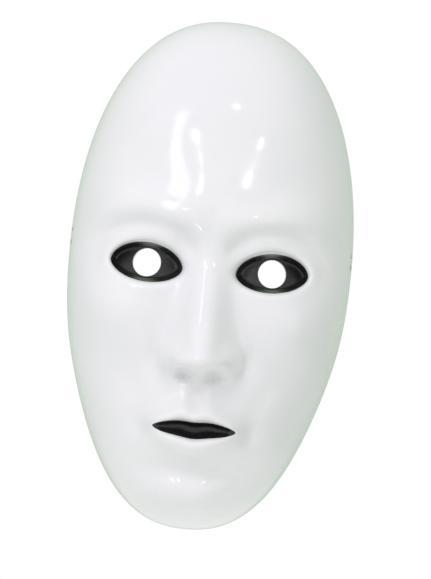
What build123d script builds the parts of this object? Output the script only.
"""Full-face costume mask: a thin vacuum-formed plastic shell, black paint in the eye and mouth recesses,
and a flat elastic band stapled inside both temples.

Units are millimetres. +Z is up the forehead, the face looks towards -Y, and +X is the wearer's left.
The trimmed rim lies in the plane y = 0, and the origin is its centre at eye level.
"""
from build123d import *
import math
import os
import numpy as np

# --- Egg-shaped body of the mask
HALF_WIDTH = 80.0        # rim, side to side, from the centre
EYE_TO_TOP = 140.0       # rim, eye level up to the crown
EYE_TO_CHIN = 145.0      # rim, eye level down to the chin
MIDDLE = -4.0            # height of the widest level
DOME = 67.0              # how far the plain egg stands forward of the rim
OUTLINE_POWER = 2.3      # superellipse power of the rim; 2 is an ellipse
JAW_NARROWING = 0.13     # share of the width lost towards the chin
JAW_LEVEL = -62.0        # height of the middle of that narrowing
JAW_SPREAD = 45.0
ROUNDNESS_TOP = 2.15     # power of the section through the crown
ROUNDNESS_CHIN = 3.40    # power of the section through the chin
RIM_FADE = 16            # power with which the features die away before the rim

# --- Sheet
SHEET = 0.8              # thickness of the plastic
PAINT_GAP = 0.25         # the paint film floats this far forward of the sheet
PAINT = 0.25             # thickness of the film from front to back, which is less across its steep sides

# --- Eyes: an almond with a round peephole
EYE_X = 34.0
EYE_Z = 0.0
EYE_HALF = 20.5
LID_UP = 12.5
LID_DOWN = 10.5
EYE_POWERS = (2.0, 1.8)
EYE_SLANT = 0.05
EYE_RECESS = 8.0
PEEPHOLE_RADIUS = 7.5
PEEPHOLE_Z = 0.8

# --- Mouth: slightly parted lips
MOUTH_HALF = 24.0
MOUTH_Z = -84.0
MOUTH_UP = 4.2
MOUTH_DOWN = 6.2
MOUTH_POWERS = (2.0, 1.8)
MOUTH_RECESS = 6.0
MOUTH_SOFT = 0.15        # rounds the recess near the corners of the mouth
CORNER_SHALLOW = 0.85    # share of the recess's depth lost there

# --- Staples, No. 10 size: a crown across the band, two legs clinched outside the shell
WIRE = 0.5
CROWN = 9.5              # outside width
LEG = 5.0
WIRE_BEND = 0.4          # radius of its middle line
LEG_OVER_WALL = 0.1      # between a clinched leg and the wall
LEG_HOLE_PLAY = 0.05     # of each hole's radius over the wire's
STAPLE_Z = 12.0
STAPLE_SETBACK = 18.0    # forward of the rim
CLEARANCE = 0.45         # between the band and the wall or the crown

# --- Elastic band
BAND_WIDTH = 6.0
BAND_THICK = 1.0
LEAVES_AT = 0.6          # behind the staple, where the band starts to bend off the wall
BAND_BEHIND_RIM = -0.4   # y of its rearmost edge
TAB_PAST_STAPLE = 2.5    # cut end, forward of the staple
TAB_BEND = 8.0           # radius where it leaves the wall
TURN_RADIUS = 9.0        # edgewise turn from backwards to downwards
SAG_RADIUS = 40.0        # the two bends of the hanging loop
SAG_TURN = 60.0          # degrees turned in each

# --- Soft features of the face, mirrored where x isn't 0:
# (height, x, z, half-width, half-height, turn in degrees)
SWELLINGS = [
    (3.0, 0, 34, 40, 22, 0),         # brow
    (2.5, 30, 80, 30, 28, 0),        # forehead
    (-11.0, 35, 4, 27, 17, 4),       # eye socket
    (-4.0, 15, 5, 8, 14, 0),         # socket beside the nose
    (9.5, 35.5, -1, 25, 18, 0),      # eyeball
    (7.0, 51, -27, 25, 19, 20),      # cheekbone
    (-2.5, 56, -76, 20, 26, 10),     # hollow of the cheek
    (13.0, 0, -86, 38, 31, 0),       # round of the teeth
    (12.0, 0, -125, 27, 15, 0),      # chin
    (-1.0, 0, -121, 6, 7, 0),        # middle of the chin
    (3.5, 0, -46, 11, 9, 0),         # nose tip
    (8.5, 14.5, -50, 7, 8, 0),       # nose wing
    (-1.8, 24, -50, 4.5, 9, -14),    # crease round the wing
    (-6.0, 8.2, -56.8, 4.6, 3.4, 16),  # nostril
    (1.2, 0, -58, 3.4, 5, 0),        # between the nostrils
    (-1.5, 0, -67.5, 4.2, 6.5, 0),   # groove above the lip
    (0.7, 6.5, -68.5, 3.4, 7, 0),    # edges of that groove
    (-3.0, 29.5, -86, 6, 6.5, 0),    # corner of the mouth
    (-4.5, 0, -109, 24, 7, 0),       # fold under the lip
    (-1.0, 34, -68, 7, 16, -28),     # cheek fold
]


def swelling(x, z, height, cx, cz, half_width, half_height, turn):
    c, s = math.cos(math.radians(turn)), math.sin(math.radians(turn))
    u = ((x - cx) * c + (z - cz) * s) / half_width
    v = ((z - cz) * c - (x - cx) * s) / half_height
    return height * np.exp(-u * u - v * v)


def step(u):
    return 0.5 * (1.0 + np.tanh(u))


def bump(u):
    return np.exp(-u * u)


def inside_by(shape, x, z, soft=0.03):
    """How many millimetres a point lies inside an outline, near it. A larger soft rounds sharp corners."""
    d = 0.05
    across = (shape(x + d, z) - shape(x - d, z)) / (2 * d)
    up = (shape(x, z + d) - shape(x, z - d)) / (2 * d)
    return shape(x, z) / np.sqrt(across * across + up * up + soft * soft)


def almond(x, z):
    along = (np.abs(x) - EYE_X) / EYE_HALF
    rise = z - EYE_Z - EYE_SLANT * (np.abs(x) - EYE_X)
    upper = step(rise / 3.0)
    half = LID_UP * upper + LID_DOWN * (1 - upper)
    across, up = EYE_POWERS
    return 1 - np.abs(along) ** across - (np.sqrt(rise * rise + 0.04) / half) ** up


def lip_line(x):
    return MOUTH_Z - 0.0022 * x * x - bump(x / 7.0)


def parting(x, z):
    rise = z - lip_line(x)
    upper = step(rise / 1.5)
    half = MOUTH_UP * upper + MOUTH_DOWN * (1 - upper)
    across, up = MOUTH_POWERS
    return 1 - np.abs(x / MOUTH_HALF) ** across - (np.sqrt(rise * rise + 0.04) / half) ** up


def brow_ridge(x, z):
    side = np.sqrt(x * x + 1.0)
    arch = 25.0 + 6.0 * bump((side - 46) / 22.0) - 5.0 * step((side - 64) / 7.0)
    return 5.0 * bump((z - arch) / 10.5) * step((side - 8) / 9.0) * (1 - step((side - 65) / 9.0))


def nose(x, z):
    t = (10.0 - z) / 58.0
    ridge = 25.0 * np.log1p(np.exp((t - 0.02) * 5)) / 5 + 0.5
    under = step((z + 55.0 - 0.012 * x * x) / 4.6)
    width = 11.5 + 3.5 * step((-28 - z) / 12.0) + 3.0 * step((z - 4) / 8)
    return ridge * under * np.exp(-np.abs(x / width) ** 2.4)


def lips(x, z):
    side = np.sqrt(x * x + 1.0)
    upper = lip_line(x) + 7.2 * bump(side / 21.0) + bump((side - 7.0) / 5.0) - 0.8 * bump(x / 3.5)
    lower = lip_line(x) - 10.0 * bump(side / 22.0)
    top = 5.6 * bump((z - upper) / 4.9) * np.exp(-(side / 26.0) ** 4)
    return top + 7.0 * bump((z - lower) / 7.0) * np.exp(-(side / 23.0) ** 4)


def lids(x, z):
    side = np.sqrt(x * x + 1.0)
    f = inside_by(almond, x, z)
    top = step((z - EYE_Z - 1.0) / 4.0)
    fold = top * step((1.0 - np.abs((side - EYE_X) / 25.0)) * 5 - 0.6)
    rolls = (0.7 + 1.7 * top) * bump((f + 2.2) / (3.4 + 0.9 * top)) - 1.2 * bump((f + 8.5) / 3.2) * fold
    return rolls - EYE_RECESS * step((f - 1.8) / 2.0)


def features(x, z):
    """Height of the face's features over the plain egg."""
    h = brow_ridge(x, z) + nose(x, z) + lips(x, z) + lids(x, z)
    deep = 1 - CORNER_SHALLOW * step((np.sqrt(x * x + 1.0) - 19.0) / 3.2)
    h = h - MOUTH_RECESS * deep * step((inside_by(parting, x, z, MOUTH_SOFT) - 1.5) / 1.8)
    for height, cx, cz, half_width, half_height, turn in SWELLINGS:
        h = h + swelling(x, z, height, cx, cz, half_width, half_height, turn)
        if cx:
            h = h + swelling(-x, z, height, cx, cz, half_width, half_height, turn)
    return h


def narrowing(z):
    return 1.0 - JAW_NARROWING * step((JAW_LEVEL - z) / JAW_SPREAD)


def rim_radius(phi):
    reach = np.where(np.sin(phi) > 0, EYE_TO_TOP - MIDDLE, EYE_TO_CHIN + MIDDLE)
    total = np.abs(np.cos(phi) / HALF_WIDTH) ** OUTLINE_POWER + np.abs(np.sin(phi) / reach) ** OUTLINE_POWER
    return total ** (-1 / OUTLINE_POWER)


def roundness(phi):
    return ROUNDNESS_TOP + (ROUNDNESS_CHIN - ROUNDNESS_TOP) * ((1 - np.sin(phi)) / 2) ** 2


def skin(s, t):
    """Outer surface: s and t are angles from straight ahead, in right angles, to the side and up."""
    lean = np.hypot(s, t) * math.pi / 2
    phi = np.arctan2(t, s)
    p = roundness(phi)
    m = (np.abs(np.sin(lean)) ** p + np.abs(np.cos(lean)) ** p) ** (-1 / p)
    out = m * np.sin(lean)
    z = MIDDLE + out * rim_radius(phi) * np.sin(phi)
    x = out * rim_radius(phi) * np.cos(phi) * narrowing(z)
    fade = (1 - np.clip(out, 0, 1) ** RIM_FADE) * (np.cos(lean) > 0)
    y = -(DOME * m * np.cos(lean) + features(x, z) * fade)
    return np.stack([x, y, z], -1)


def normals(surface, u, v):
    """Unit normals that point forwards and outwards."""
    e = 1e-4
    n = np.cross(surface(u + e, v) - surface(u - e, v), surface(u, v + e) - surface(u, v - e))
    return n / np.linalg.norm(n, axis=-1, keepdims=True)


def spline_face(points):
    return Face.make_surface_from_array_of_points(
        [[Vector(*p) for p in row] for row in points.tolist()], tol=FIT, min_deg=3
    )


# --- Mask shell
GRID = 115               # points each way over the egg
REACH = 1.07             # how far the grid runs past the rim, in right angles
CORNER_PULL = 0.35       # how much the grid's corners are drawn in
FIT = 0.3                # how far a spline surface may leave its points


def egg_grid(outward):
    line = np.linspace(-1, 1, GRID)
    u, v = np.meshgrid(line, line, indexing="ij")
    s = REACH * u * np.sqrt(1 - CORNER_PULL * v * v)
    t = REACH * v * np.sqrt(1 - CORNER_PULL * u * u)
    return skin(s, t) + outward * normals(skin, s, t)


def flat_list(parts):
    if isinstance(parts, (list, tuple)):
        return [one for part in parts for one in flat_list(part)]
    return [] if parts is None else [parts]


def forward_of_rim(face):
    """The part of a face on the near side of the rim plane, which is by far its larger part."""
    return max(flat_list(face.split(Plane.XZ, keep=Keep.BOTH)), key=lambda part: part.area)


def peephole(x, radius):
    return Pos(x, -50, PEEPHOLE_Z) * Rot(90, 0, 0) * Cylinder(radius, 100)


def mask_shell(outer, seats):
    inner = forward_of_rim(spline_face(egg_grid(-SHEET)))
    rim = Face(Wire(outer.edges()), [Wire(inner.edges())])
    shell = Solid(Shell([outer, inner, rim]))
    for side in (-1, 1):
        shell = shell - peephole(side * EYE_X, PEEPHOLE_RADIUS)
    for seat in seats:
        for up in (-1, 1):
            leg = Cylinder(WIRE / 2 + LEG_HOLE_PLAY, 6)
            shell = shell - seat * Pos(0, up * (CROWN - WIRE) / 2, 0) * leg
    return shell


# --- Paint in the recesses
OUTLINE_POINTS = 32
EYE_PAINTED = 0.97       # share of the eye's and the mouth's outline that the paint fills
PAINT_OFF_HOLE = 0.1     # the paint stops this far from a peephole's edge
MOUTH_PAINTED = 0.87


def painted(outer, outline, holes=()):
    """A film over the part of the outer surface that lies within an outline and outside the holes."""
    patch = outer & Solid.extrude(Face(Wire(Edge.make_spline(outline, periodic=True))), Vector(0, -120, 0))
    for hole in holes:
        patch = patch - hole
    face = max(flat_list(patch.faces()), key=lambda one: one.area)
    return Pos(0, -PAINT_GAP, 0) * Solid.extrude(face, Vector(0, -PAINT, 0))


def rounded(angle, power_x, power_z):
    c, s = math.cos(angle), math.sin(angle)
    return math.copysign(abs(c) ** (2 / power_x), c), math.copysign(abs(s) ** (2 / power_z), s)


def eye_paint(outer, side):
    points = []
    for k in range(OUTLINE_POINTS):
        along, up = rounded(2 * math.pi * k / OUTLINE_POINTS, *EYE_POWERS)
        x = EYE_HALF * EYE_PAINTED * along
        z = EYE_Z + EYE_PAINTED * up * (LID_UP if up > 0 else LID_DOWN) + EYE_SLANT * x
        points.append(Vector(side * (EYE_X + x), 0, z))
    return painted(outer, points, [peephole(side * EYE_X, PEEPHOLE_RADIUS + PAINT_OFF_HOLE)])


def mouth_paint(outer):
    points = []
    for k in range(OUTLINE_POINTS):
        along, up = rounded(2 * math.pi * k / OUTLINE_POINTS, *MOUTH_POWERS)
        x = MOUTH_HALF * MOUTH_PAINTED * along
        z = float(lip_line(x)) + MOUTH_PAINTED * up * (MOUTH_UP if up > 0 else MOUTH_DOWN)
        points.append(Vector(x, 0, z))
    return painted(outer, points)


# --- Where a staple sits: local x runs back along the wall, y up, z straight out of it
def staple_seat():
    """The wearer's left seat: where the wall is STAPLE_SETBACK forward of the rim, at STAPLE_Z, found by steps."""
    s, t, per_mm = 0.8, 0.1, 0.004
    for _ in range(60):
        x, y, z = skin(np.array(s), np.array(t))
        s -= (STAPLE_SETBACK + y) * per_mm
        t += (STAPLE_Z - z) * per_mm
    out = normals(skin, np.array([s]), np.array([t]))[0]
    back = Vector(0, 1, 0).cross(Vector(*out)).cross(Vector(*out)) * -1
    return Plane(origin=(x, y, z), x_dir=back, z_dir=Vector(*out))


def mirrored_location(seat):
    origin = Vector(-seat.origin.X, seat.origin.Y, seat.origin.Z)
    back = Vector(-seat.x_dir.X, seat.x_dir.Y, seat.x_dir.Z)
    out = Vector(-seat.z_dir.X, seat.z_dir.Y, seat.z_dir.Z)
    return Plane(origin=origin, x_dir=back, z_dir=out).location


def staple(seat):
    """Bent wire in the plane of local y and z."""
    half = (CROWN - WIRE) / 2
    crown = -(SHEET + CLEARANCE + BAND_THICK + CLEARANCE + WIRE / 2)
    outside = WIRE / 2 + LEG_OVER_WALL
    tip = half - (LEG - (outside - crown))
    path = FilletPolyline(
        (0, tip, outside), (0, half, outside), (0, half, crown), (0, -half, crown), (0, -half, outside),
        (0, -tip, outside), radius=WIRE_BEND
    )
    start = Plane(origin=(0, tip, outside), z_dir=(0, 1, 0))
    return seat.location * sweep(start * Circle(WIRE / 2), path=path)


# --- Elastic band: a tab under each staple, an edgewise turn, and a loop that hangs between them
def band_places(seat):
    """(tab's point under the staple, slope of the wall, x of the hanging loop)."""
    under = seat.origin - seat.z_dir * (SHEET + CLEARANCE + BAND_THICK / 2)
    slope = math.atan2(seat.x_dir.X, seat.x_dir.Y)
    x = under.X + LEAVES_AT * math.sin(slope) + TAB_BEND * (1 - math.cos(slope))
    return under, slope, x


def tab(seat):
    under, slope, x_loop = band_places(seat)
    heading = Vector(math.sin(slope), math.cos(slope))
    foot = Vector(under.X, under.Y)
    front = foot - heading * TAB_PAST_STAPLE
    leave = foot + heading * LEAVES_AT
    bent = Vector(x_loop, leave.Y + TAB_BEND * math.sin(slope))
    turn_y = BAND_BEHIND_RIM - BAND_WIDTH / 2 - TURN_RADIUS
    side = Vector(math.cos(slope), -math.sin(slope)) * (BAND_THICK / 2)
    half = Vector(BAND_THICK / 2, 0)
    end = Vector(x_loop, turn_y)

    def bend(offset):
        centre = Vector(x_loop - TAB_BEND, bent.Y)
        middle = Vector(math.cos(slope / 2), -math.sin(slope / 2)) * (TAB_BEND + offset)
        return centre + middle

    outline = [
        Edge.make_line(front + side, leave + side),
        Edge.make_three_point_arc(leave + side, bend(BAND_THICK / 2), bent + half),
        Edge.make_line(bent + half, end + half),
        Edge.make_line(end + half, end - half),
        Edge.make_line(end - half, bent - half),
        Edge.make_three_point_arc(bent - half, bend(-BAND_THICK / 2), leave - side),
        Edge.make_line(leave - side, front - side),
        Edge.make_line(front - side, front + side),
    ]
    flat = Face(Wire(outline))
    return Pos(0, 0, STAPLE_Z - BAND_WIDTH / 2) * extrude(flat, BAND_WIDTH, dir=(0, 0, 1))


def edgewise_turn(seat):
    x = band_places(seat)[2]
    y = BAND_BEHIND_RIM - BAND_WIDTH / 2 - TURN_RADIUS
    ring = Cylinder(TURN_RADIUS + BAND_WIDTH / 2, BAND_THICK) - Cylinder(TURN_RADIUS - BAND_WIDTH / 2, 2)
    quarter = ring & Pos(10, 10, 0) * Box(20, 20, 2)
    stand = Plane(origin=(x, y, STAPLE_Z - TURN_RADIUS), x_dir=(0, 1, 0), z_dir=(1, 0, 0))
    return stand.location * quarter


def loop(seat):
    x = band_places(seat)[2]
    z = STAPLE_Z - TURN_RADIUS
    turn = math.radians(SAG_TURN)
    slack_x = x - SAG_RADIUS * (1 - math.cos(turn))
    slack_z = z - SAG_RADIUS * math.sin(turn)
    wide = slack_x / math.cos(turn)
    lowest = slack_z - wide * (1 - math.sin(turn))

    def curve(offset):
        """The loop's edges from +x to -x, a distance outside its middle line."""
        small, big = SAG_RADIUS + offset, wide + offset
        knee = Vector(slack_x, slack_z) + Vector(math.cos(turn), -math.sin(turn)) * offset
        mid = Vector(x - SAG_RADIUS, z) + Vector(math.cos(turn / 2), -math.sin(turn / 2)) * small
        first = Edge.make_three_point_arc(Vector(x + offset, z), mid, knee)
        bottom = Edge.make_three_point_arc(knee, Vector(0, lowest - offset), Vector(-knee.X, knee.Y))
        far_knee, far_mid = Vector(-knee.X, knee.Y), Vector(-mid.X, mid.Y)
        last = Edge.make_three_point_arc(far_knee, far_mid, Vector(-x - offset, z))
        return [first, bottom, last]

    outer, inner = curve(BAND_THICK / 2), curve(-BAND_THICK / 2)
    ends = [
        Edge.make_line(Vector(side * (x + BAND_THICK / 2), z), Vector(side * (x - BAND_THICK / 2), z))
        for side in (-1, 1)
    ]
    flat = Face(Wire(outer + inner + ends))
    back = Plane(origin=(0, BAND_BEHIND_RIM, 0), x_dir=(1, 0, 0), z_dir=(0, -1, 0))
    length = 2 * SAG_RADIUS * turn + wide * (math.pi - 2 * turn) + math.pi * TURN_RADIUS
    print("band, hanging part with its two turns:", round(length, 1), "lowest", round(lowest, 1))
    return back.location * extrude(flat, BAND_WIDTH, dir=(0, 0, 1))


def elastic_band(seat):
    half = tab(seat) + edgewise_turn(seat)
    return half + mirror(half, about=Plane.YZ) + loop(seat)


def main():
    os.makedirs("parts", exist_ok=True)
    seat = staple_seat()
    seats = [seat.location, mirrored_location(seat)]
    left = staple(seat)
    outer = forward_of_rim(spline_face(egg_grid(0.0)))
    parts = {
        "mask_shell": mask_shell(outer, seats),
        "left_eye_paint": eye_paint(outer, 1),
        "right_eye_paint": eye_paint(outer, -1),
        "mouth_paint": mouth_paint(outer),
        "left_staple": left,
        "right_staple": mirror(left, about=Plane.YZ),
        "elastic_band": elastic_band(seat),
    }
    print("staple seat", seat.origin, "out", seat.z_dir, "back", seat.x_dir, "band x", band_places(seat)[2])
    for name, solid in parts.items():
        export_step(solid, f"parts/{name}.step")


main()
